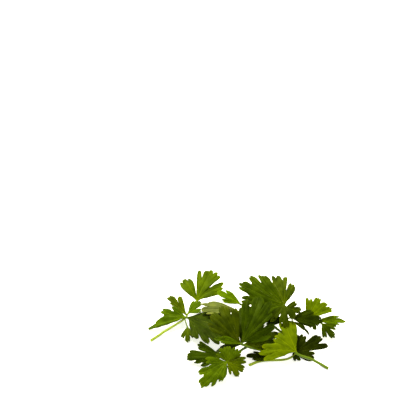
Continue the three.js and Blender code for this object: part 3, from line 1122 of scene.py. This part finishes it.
@dataclass(frozen=True)
class LeafFinish:
    """Fresh green leaf: paler veins, streaks along them, light through the blade, a painted rim
    light.

    Attributes:
        name: the material's name.
        roughness: of the surface.
        pale: share of pale green laid over the leaflet's own tone.
        vein: share of the vein's colour along the veins.
        bump: strength of the relief.
    """

    name: str
    roughness: float
    pale: float
    vein: float
    bump: float

    PALE_GREEN = (0.24, 0.31, 0.06, 1.0)
    # What multiplies the green on veins, at the edge (painted rim light) and in bright and dim
    # patches.
    VEIN_LIFT = (3.4, 2.9, 2.4, 1.0)
    RIM_LIGHT_LIFT = (2.6, 2.2, 2.0, 1.0)
    BRIGHT = (1.9, 1.7, 1.0, 1.0)
    DIM = (0.36, 0.40, 0.35, 1.0)
    # The gloss, and the light that comes through the blade.
    SHEEN_TINT = (0.8, 1.0, 0.05, 1.0)
    SPECULAR = 0.06
    LIGHT = (0.16, 0.24, 0.0, 1.0)
    LIGHT_SHARE = 1.3
    # Half widths of the veins and of the valleys beside them, in mm.
    MAIN_VEIN = 0.34
    MAIN_VEIN_TIP = 0.06
    SIDE_VEIN = 0.16
    VALLEY = 1.5
    # Streaks: waves per radian, per mm outwards and per leaflet. The rest: waves per mm.
    STREAK = (9.0, 0.05, 1.0)
    FINE_STREAK = (30.0, 0.12, 1.0)
    NET_SCALE = 1.5
    NET_WIDTH = 0.10
    MOTTLE_SCALE = 0.13
    GRAIN_SCALE = 2.2
    # Where the edge's painted rim light begins as a share of the blade, and how much of its lift
    # shows.
    EDGE = 0.93
    RIM_LIGHT_SHARE = 0.35
    # How soon a brighter tone loses its patches, and how strong each part of them is.
    EVENNESS = 4.0
    BRIGHT_FROM = 0.42
    BRIGHT_MIX = (2.4, 0.9)
    DIM_FROM = 0.48
    DIM_MIX = (2.6, 1.0, 1.0, 0.25)
    # Shares in the veins' colour of main veins, side veins and net, and shares in the
    # relief of these three, the grain and the fine streaks.
    VEINED = (0.9, 0.55, 0.06)
    RELIEF = (1.2, 1.1, 0.25, 0.3, 0.35)
    BUMP_DISTANCE = 0.00025
    ROUGH_UNEVEN = 0.18

    def veins(self, bench: Bench) -> tuple[Signal, Signal, Signal]:
        """Draw the veins from the distances kept on the mesh.

        Args:
            bench: the material being made.

        Returns:
            The mask of the main veins, that of the side veins and that of the leaf between.
        """
        side_gap, main_gap, radius = bench.split(bench.attribute("vein").outputs["Vector"])
        width = self.MAIN_VEIN - radius * (self.MAIN_VEIN - self.MAIN_VEIN_TIP)
        main = (1.0 - main_gap / width).clamped()
        side = (1.0 - side_gap / self.SIDE_VEIN).clamped()
        valley = (side_gap / self.VALLEY).clamped() * (main_gap / self.VALLEY).clamped()
        return main, side, valley

    def streaks(self, bench: Bench, stretch: Triple) -> Signal:
        """Return a noise drawn out along the leaflet's rays.

        Args:
            bench: the material being made.
            stretch: its waves per radian, per millimetre outwards and per leaflet.

        Returns:
            The noise, 0 to 1.
        """
        parts = bench.split(bench.attribute("fan").outputs["Vector"])
        drawn = [part * waves for part, waves in zip(parts, stretch, strict=True)]
        return bench.noise(bench.join(*drawn), 1.0)

    def net(self, bench: Bench, flat: bpy.types.NodeSocket) -> Signal:
        """Draw the fine net of veins between the side veins.

        Args:
            bench: the material being made.
            flat: the leaflet's flat coordinates.

        Returns:
            The net's mask.
        """
        gap = bench.node("ShaderNodeTexVoronoi", {"feature": "DISTANCE_TO_EDGE",
                                                  "voronoi_dimensions": "2D"},
                         {"Vector": flat, "Scale": self.NET_SCALE}).outputs[0]
        return (1.0 - Signal(bench.tree, gap) / self.NET_WIDTH).clamped()

    def make(self) -> bpy.types.Material:
        """Build the material.

        Returns:
            The material.
        """
        bench = Bench(self.name)
        flat = bench.attribute("flat").outputs["Vector"]
        tone = bench.attribute("tone").outputs["Color"]
        green_part = bench.split(tone)[1]
        main, side, valley = self.veins(bench)
        net = self.net(bench, flat)
        mottle = bench.noise(flat, self.MOTTLE_SCALE)
        grain = bench.noise(flat, self.GRAIN_SCALE)
        streak = self.streaks(bench, self.STREAK)
        fine = self.streaks(bench, self.FINE_STREAK)
        edge = ((bench.split(flat)[2] - self.EDGE) / (1.0 - self.EDGE)).clamped()
        veined = weigh(self.VEINED, main, side, net).clamped()

        # A dark leaflet is mottled more than a bright one, which lets light through evenly.
        uneven = 1.0 - green_part * self.EVENNESS
        bright = weigh(self.BRIGHT_MIX, mottle - self.BRIGHT_FROM, streak - NOISE_MIDDLE)
        dim = weigh(self.DIM_MIX, self.DIM_FROM - mottle, NOISE_MIDDLE - streak,
                    fine - NOISE_MIDDLE, valley)
        colour = bench.blend(self.pale, tone, self.PALE_GREEN)
        for share, tint in (((bright * uneven).clamped(), self.BRIGHT),
                            ((dim * uneven).clamped(), self.DIM),
                            # The edge is lightened partly as a painted rim light, over the
                            # margin's own slight paleness.
                            (edge * self.RIM_LIGHT_SHARE, self.RIM_LIGHT_LIFT),
                            (veined * self.vein, self.VEIN_LIFT)):
            colour = bench.blend(share, colour, tint, "MULTIPLY")

        relief = weigh(self.RELIEF, main, side, net, grain, fine)
        leaf = bench.node("ShaderNodeBsdfPrincipled", inputs={
            "Base Color": colour,
            "Roughness": (grain - NOISE_MIDDLE) * self.ROUGH_UNEVEN + self.roughness,
            "Normal": bench.bump(self.bump, relief, self.BUMP_DISTANCE),
            "Specular IOR Level": self.SPECULAR, "Specular Tint": self.SHEEN_TINT})
        glow = bench.node("ShaderNodeBsdfTranslucent", inputs={"Color": self.LIGHT})
        through = (green_part * self.LIGHT_SHARE).clamped()
        both = bench.node("ShaderNodeMixShader", inputs={
            0: through, 1: leaf.outputs[0], 2: glow.outputs[0]})
        return bench.finish(both.outputs[0])


@dataclass(frozen=True)
class StalkFinish:
    """Juicy stalk: its own green, finely grooved and streaked lengthwise.

    Attributes:
        name: the material's name.
    """

    name: str

    # What multiplies the green on the ribs and between them, and how the two mix.
    BRIGHT = (1.35, 1.3, 1.6, 1.0)
    DULL = (0.62, 0.68, 0.4, 1.0)
    DULL_MIX = (1.4, 0.8)
    DULL_FROM = 0.6
    ROUGHNESS = 0.40
    ROUGH_UNEVEN = 0.3
    SPECULAR = 0.2
    # Streaks round the stalk, their waves per mm along it, and the coarser and finer ones.
    STREAKS = 7.0
    STREAK_STRETCH = 0.05
    PATCH_SCALE = 0.35
    FIBRES = 4.0
    # Shares of grooves, streaks and fibres in the relief.
    RELIEF = (0.6, 1.0, 0.8)
    BUMP = 0.5
    BUMP_DISTANCE = 0.0002

    def make(self) -> bpy.types.Material:
        """Build the material.

        Returns:
            The material.
        """
        bench = Bench(self.name)
        turn, run, radius = bench.split(bench.attribute("skin").outputs["Vector"])
        tone = bench.attribute("tone").outputs["Color"]
        drawn = bench.join(turn * self.STREAKS, run * self.STREAK_STRETCH, radius)
        streak = bench.noise(drawn, 1.0)
        patch = bench.noise(drawn, self.PATCH_SCALE)
        fibre = bench.noise(drawn, self.FIBRES)
        dull = (weigh(self.DULL_MIX, streak, patch) - self.DULL_FROM).clamped()
        shade = bench.blend(dull, self.BRIGHT, self.DULL)
        groove = (turn * (math.pi * self.STREAKS)).wave()
        relief = weigh(self.RELIEF, groove, streak, fibre)
        skin = bench.node("ShaderNodeBsdfPrincipled", inputs={
            "Base Color": bench.blend(1.0, tone, shade, "MULTIPLY"),
            "Roughness": (fibre - NOISE_MIDDLE) * self.ROUGH_UNEVEN + self.ROUGHNESS,
            "Normal": bench.bump(self.BUMP, relief, self.BUMP_DISTANCE),
            "Specular IOR Level": self.SPECULAR})
        return bench.finish(skin.outputs[0])


@dataclass(frozen=True)
class FloorFinish:
    """Matt white paper.

    Attributes:
        name: the material's name.
    """

    name: str

    WHITE = (0.78, 0.78, 0.78, 1.0)
    ROUGHNESS = 0.9
    GLOW_COLOUR = (1.0, 1.0, 1.0, 1.0)
    GLOW = 0.7

    def make(self) -> bpy.types.Material:
        """Build the material.

        Returns:
            The material.
        """
        bench = Bench(self.name)
        paper = bench.node("ShaderNodeBsdfPrincipled", inputs={
            "Base Color": self.WHITE, "Roughness": self.ROUGHNESS, "Specular IOR Level": 0.0,
            "Emission Color": self.GLOW_COLOUR, "Emission Strength": self.GLOW})
        return bench.finish(paper.outputs[0])


# --------------------------------------------------------------------------- studio


@dataclass(frozen=True)
class SoftLight:
    """A square soft light that faces the bunch.

    Attributes:
        name: its name.
        spot: its place in mm.
        side: its side in mm.
        power: its power in watts.
    """

    name: str
    spot: Triple
    side: float
    power: float

    def hang(self) -> None:
        """Hang the light in its place."""
        data = bpy.data.lights.new(self.name, "AREA")
        data.size = self.side * MM
        data.energy = self.power
        data.color = WARM
        light = put_in_scene(self.name, data)
        light.location = Vector(self.spot) * MM
        light.rotation_euler = (-light.location).to_track_quat("-Z", "Y").to_euler()


@dataclass(frozen=True)
class Studio:
    """The pale floor, the soft lights and the camera, in mm.

    Attributes:
        camera: where the camera stands.
        aim: what it looks at.
        lens: focal length of the lens.
        sensor: width of the sensor.
        floor: side of the floor.
        sky: strength of the even light from all round.
        lights: the soft lights.
    """

    camera: Triple = (0.0, -668.8, 602.2)
    aim: Triple = (-37.6, 61.8, 68.7)
    lens: float = 112.5
    sensor: float = 36.0
    floor: float = 3000.0
    sky: float = 0.4
    lights: tuple[SoftLight, ...] = (
        SoftLight("key", (-260.0, 380.0, 900.0), 420.0, 27.0),
        SoftLight("fill", (500.0, -500.0, 700.0), 500.0, 3.0),
    )

    NEAREST = 0.05

    def build(self) -> None:
        """Make the floor, the lights, the camera and the sky."""
        self.lay_floor()
        for light in self.lights:
            light.hang()
        self.stand_camera()
        self.light_sky()

    def lay_floor(self) -> None:
        """Lay the floor at the height of the surface."""
        mesh = bmesh.new()
        bmesh.ops.create_grid(mesh, x_segments=1, y_segments=1, size=self.floor * MM / 2.0)
        floor = put_mesh(mesh, "floor", [FloorFinish("white_paper").make()])

    def stand_camera(self) -> None:
        """Stand the camera where it looks at the bunch."""
        data = bpy.data.cameras.new("camera")
        data.sensor_width = self.sensor
        data.lens = self.lens
        data.clip_start = self.NEAREST
        camera = put_in_scene("camera", data)
        camera.location = (Vector(self.camera) + ORIGIN) * MM
        look = (Vector(self.aim) - Vector(self.camera)) * MM
        camera.rotation_euler = look.to_track_quat("-Z", "Y").to_euler()
        bpy.context.scene.camera = camera

    def light_sky(self) -> None:
        """Light the scene evenly from all round and show its colours as they are."""
        scene = bpy.context.scene
        scene.world = bpy.data.worlds.new("sky")
        scene.world.use_nodes = True
        sky = scene.world.node_tree.nodes["Background"]
        sky.inputs["Color"].default_value = (*WARM, 1.0)
        sky.inputs["Strength"].default_value = self.sky
        scene.view_settings.view_transform = "Standard"
        scene.view_settings.look = "None"


# --------------------------------------------------------------------------- the bunch

# Leaflets in NIGHT, DARK and SHADE are darkened partly as painted shade.
SPRIGS = (
    Sprig(
        "sprig_left",
        (
            # This LIME stalk's green is partly painted highlight, over its own bright
            # yellow-green.
            Stalk(((-68.5, -15.5, 0.8), (-57, -5, 2.5), (-46, 2.5, 6), (-43.5, 6, 8),
                   (-40.5, 11.5, 10), (-37.5, 16.5, 12)), 1.0, 0.6, Tone.LIME),
            Stalk(((-45.6, 3, 6.3), (-43, -5.5, 5)), 0.5, 0.45),
            Stalk(((-45.4, 3.2, 6.5), (-42.8, 2, 7.8)), 0.55, 0.5),
        ),
        (
            Leaflet(Cut.CROWN, Tone.MID, (-37.5, 16, 12), (-36, 42, 22), (66, 54), 2, 0.06),
            Leaflet(Cut.PALM, Tone.MID, (-44.5, 5, 8), (-58.5, 19, 12.5), (28, 22), -25, 0.15),
            Leaflet(Cut.LONG, Tone.MID, (-45, 3, 7), (-73.5, -2, 1), (58, 11), -26, 0.12),
            Leaflet(Cut.CLAW, Tone.MID, (-43, 6.5, 8.5), (-33.5, 13.5, 13.5), (52, 32), 5, 0.2),
            Leaflet(Cut.UNDER, Tone.DARK, (-43.2, 2.2, 7.8), (-20.5, -27.5, 7.6),
                    (25, 66), 4, 0.06),
            Leaflet(Cut.CLAW, Tone.DEEP, (-43, -5, 5), (-42, -17, 1), (34, 34), 5),
        ),
    ),
    Sprig(
        "sprig_centre",
        (
            Stalk(((27, -20.5, 0.9), (20, -23, 1.6), (13, -25, 3.4), (7.5, -27, 6.8),
                   (1.5, -31, 12), (-5, -31, 15)), 1.1, 0.85),
            Stalk(((-4, -31, 15), (-1.5, -23.5, 15.5)), 0.55, 0.5),
        ),
        (
            Leaflet(Cut.FAN, Tone.OLIVE, (-5.5, -30.5, 15), (-23.5, -12, 29.5),
                    (34, 31), -30, 0.06, 0.1),
            Leaflet(Cut.FAN, Tone.SHADE, (-4, -30.5, 15), (12.5, -1, 31), (19, 30), 24, 0.06, 0.1),
            Leaflet(Cut.THREE, Tone.MID, (-5, -31, 15), (-23.5, -30, 18.2), (18, 12), -48, 0.2),
            Leaflet(Cut.THREE, Tone.DEEP, (-3.5, -29.5, 15), (18, -12, 16.5), (26, 14), 38, 0.25),
            Leaflet(Cut.FAN, Tone.MID, (-3, -31, 14), (24, -13.5, 6.5), (26, 21), 33, 0.05, 0.0),
            Leaflet(Cut.THREE, Tone.DARK, (-5, -31, 14.5), (-24, -26, 1), (11, 27), -18),
            Leaflet(Cut.CLAW, Tone.DARK, (-4.5, -30.5, 14.5), (-5.5, -2, 23.5), (14, 13), 0),
        ),
    ),
    Sprig(
        "sprig_tall",
        (
            Stalk(((56, -37.5, 0.85), (45, -32, 3.5), (33.5, -29.5, 7), (29.5, -20, 12),
                   (25.5, -10.5, 18), (25, -5.5, 22), (24.5, -0.5, 25)), 1.05, 0.65, Tone.YOUNG),
            Stalk(((25.5, -8.5, 19), (31.5, -4.5, 17), (43.5, -3, 14), (49, -1.5, 12.5)),
                  0.6, 0.48),
            Stalk(((30.5, -5, 17.2), (31, -5.5, 14)), 0.5, 0.45),
            Stalk(((48, -1.7, 12.6), (52, -3, 11)), 0.48, 0.45),
        ),
        (
            Leaflet(Cut.WING, Tone.YOUNG, (33.5, -29, 7.5), (13, -17.3, 16.3),
                    (54, 58), -17, 0.05),
            Leaflet(Cut.CREST, Tone.DEEP, (24.5, -0.5, 25), (-6, 6.5, 28), (46, 46), -41, 0.06),
            Leaflet(Cut.PAIR, Tone.DEEP, (25, 0, 25), (20.5, 23, 34), (45, 26), -8, 0.06),
            Leaflet(Cut.CLAW, Tone.DEEP, (25, -3, 23), (37.5, -0.5, 21), (46, 42), 40),
            Leaflet(Cut.THREE, Tone.DARK, (25.5, -10, 18.3), (9, -3, 12.8), (28, 24), -36),
            Leaflet(Cut.THREE, Tone.DARK, (30, -5, 17), (53, -2, 12), (22, 32), 40),
            Leaflet(Cut.BROAD, Tone.YOUNG, (41, -2.5, 14), (55, 10, 22), (26, 46), 30),
            Leaflet(Cut.THREE, Tone.FRESH, (48.5, -1.5, 12.5), (70, 4, 8), (18, 16), 30, 0.15),
            Leaflet(Cut.CLAW, Tone.DEEP, (52, -3, 11), (61.5, -8.5, 3), (42, 42), 33),
            Leaflet(Cut.CLAW, Tone.DEEP, (45, -2.5, 13.5), (47.5, -7, 8), (44, 44), 16),
            Leaflet(Cut.STRAP, Tone.DARK, (31, -5.5, 14), (43, -10.5, 6), (13, 13), 14, 0.2, 0.2),
            Leaflet(Cut.CLAW, Tone.SHADE, (24.8, -1.5, 25.4), (25, -15, 18.5), (52, 52), 0),
            Leaflet(Cut.FAN, Tone.DEEP, (24.5, -1.5, 24), (9.5, -7, 19), (30, 34), -28),
        ),
    ),
    Sprig(
        "sprig_front",
        (
            # This LIME stalk is lightened as painted light, against the shade of the leaflet over
            # it.
            Stalk(((1.5, -37, 0.8), (10.5, -32, 0.8), (27, -30.5, 1.5), (34.5, -25.5, 3)),
                  1.0, 0.7, Tone.LIME),
        ),
        (
            Leaflet(Cut.HOOK, Tone.NIGHT, (32.5, -26, 3), (56, -16, 5), (48, 62), 35, 0.06),
            Leaflet(Cut.CLAW, Tone.DARK, (32, -26.5, 2.5), (37, -31, 1), (40, 40), 19),
            Leaflet(Cut.THREE, Tone.DARK, (18, -31, 1.6), (-2, -28.5, 1.6), (18, 20), -16),
        ),
    ),
    Sprig(
        "sprig_low",
        (
            Stalk(((17, -8, 0.9), (7.5, -15.5, 3.5), (-3, -27, 6.5), (-9, -36, 8),
                   (-13.5, -43, 9)), 1.05, 0.75, Tone.YOUNG),
            Stalk(((-11, -39, 8.4), (-17, -36, 7)), 0.55, 0.5),
        ),
        (
            Leaflet(Cut.LOW, Tone.MID, (-14, -43.5, 9), (-31.5, -60, 0.5), (57, 42), -28, 0.06),
            Leaflet(Cut.FRILL, Tone.MID, (-13.5, -43, 9), (-2, -46, 2.6), (48, 60), 38, 0.06),
            Leaflet(Cut.BROAD, Tone.MID, (-13.5, -43, 9), (-16.5, -34, 16), (68, 44), -13),
            Leaflet(Cut.PALM, Tone.SHADE, (-17, -36, 7), (-42.5, -34, 3.5), (34, 31), -37, 0.06),
        ),
    ),
    Sprig(
        "sprig_back",
        (
            Stalk(((25.5, -4, 0.8), (14, 0.5, 8), (1, 4, 16), (-2.5, 5, 18), (-6.5, 5.5, 19.5)),
                  0.9, 0.6),
            Stalk(((1.5, 3.9, 15.7), (-5, 5, 11.5)), 0.5, 0.45),
        ),
        (
            Leaflet(Cut.THREE, Tone.YOUNG, (-6, 5.5, 19.5), (-23.5, 10.5, 26), (24, 28), -24),
            Leaflet(Cut.FAN, Tone.PALE, (-4.5, 5, 11.5), (-35, 5.5, 14.5), (17, 17), -6),
            Leaflet(Cut.THREE, Tone.DEEP, (14.5, 0.5, 8), (12, 24, 0.5), (30, 30), 0),
        ),
    ),
)


@dataclass(frozen=True)
class Bunch:
    """The whole bunch.

    Attributes:
        upper: finish of the leaflets' upper side.
        under: finish of their underside.
        skin: finish of the stalks.
        sprigs: the leafy stalks.
    """

    upper: LeafFinish = LeafFinish("leaf_upper", roughness=0.46, pale=0.0, vein=0.70, bump=0.6)
    under: LeafFinish = LeafFinish("leaf_under", roughness=0.62, pale=0.42, vein=0.60, bump=0.8)
    skin: StalkFinish = StalkFinish("stalk_skin")
    sprigs: tuple[Sprig, ...] = SPRIGS

    def build(self) -> list[bpy.types.Object]:
        """Build each sprig and put its pieces in its node's place.

        Returns:
            The pieces.
        """
        upper, under, skin = self.upper.make(), self.under.make(), self.skin.make()
        draw = random.Random(SEED)
        made: list[bpy.types.Object] = []
        for sprig in self.sprigs:
            leaflets, ribs = sprig.build_leaflets(upper, under, draw)
            stalks = sprig.build_stalks(skin, ribs)
            for piece, slot in ((leaflets, "leaf"), (stalks, "stalk")):
                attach(piece, "root")
                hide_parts(sprig.node)
                made.append(piece)
        return made


def main() -> None:
    """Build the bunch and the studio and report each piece."""
    logging.basicConfig(level=logging.INFO, format="%(name)s: %(message)s")
    for piece in Bunch().build():
        LOG.info("%s: %d faces", piece.name, len(piece.data.polygons))
    Studio().build()
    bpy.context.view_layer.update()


if __name__ == "__main__":
    main()
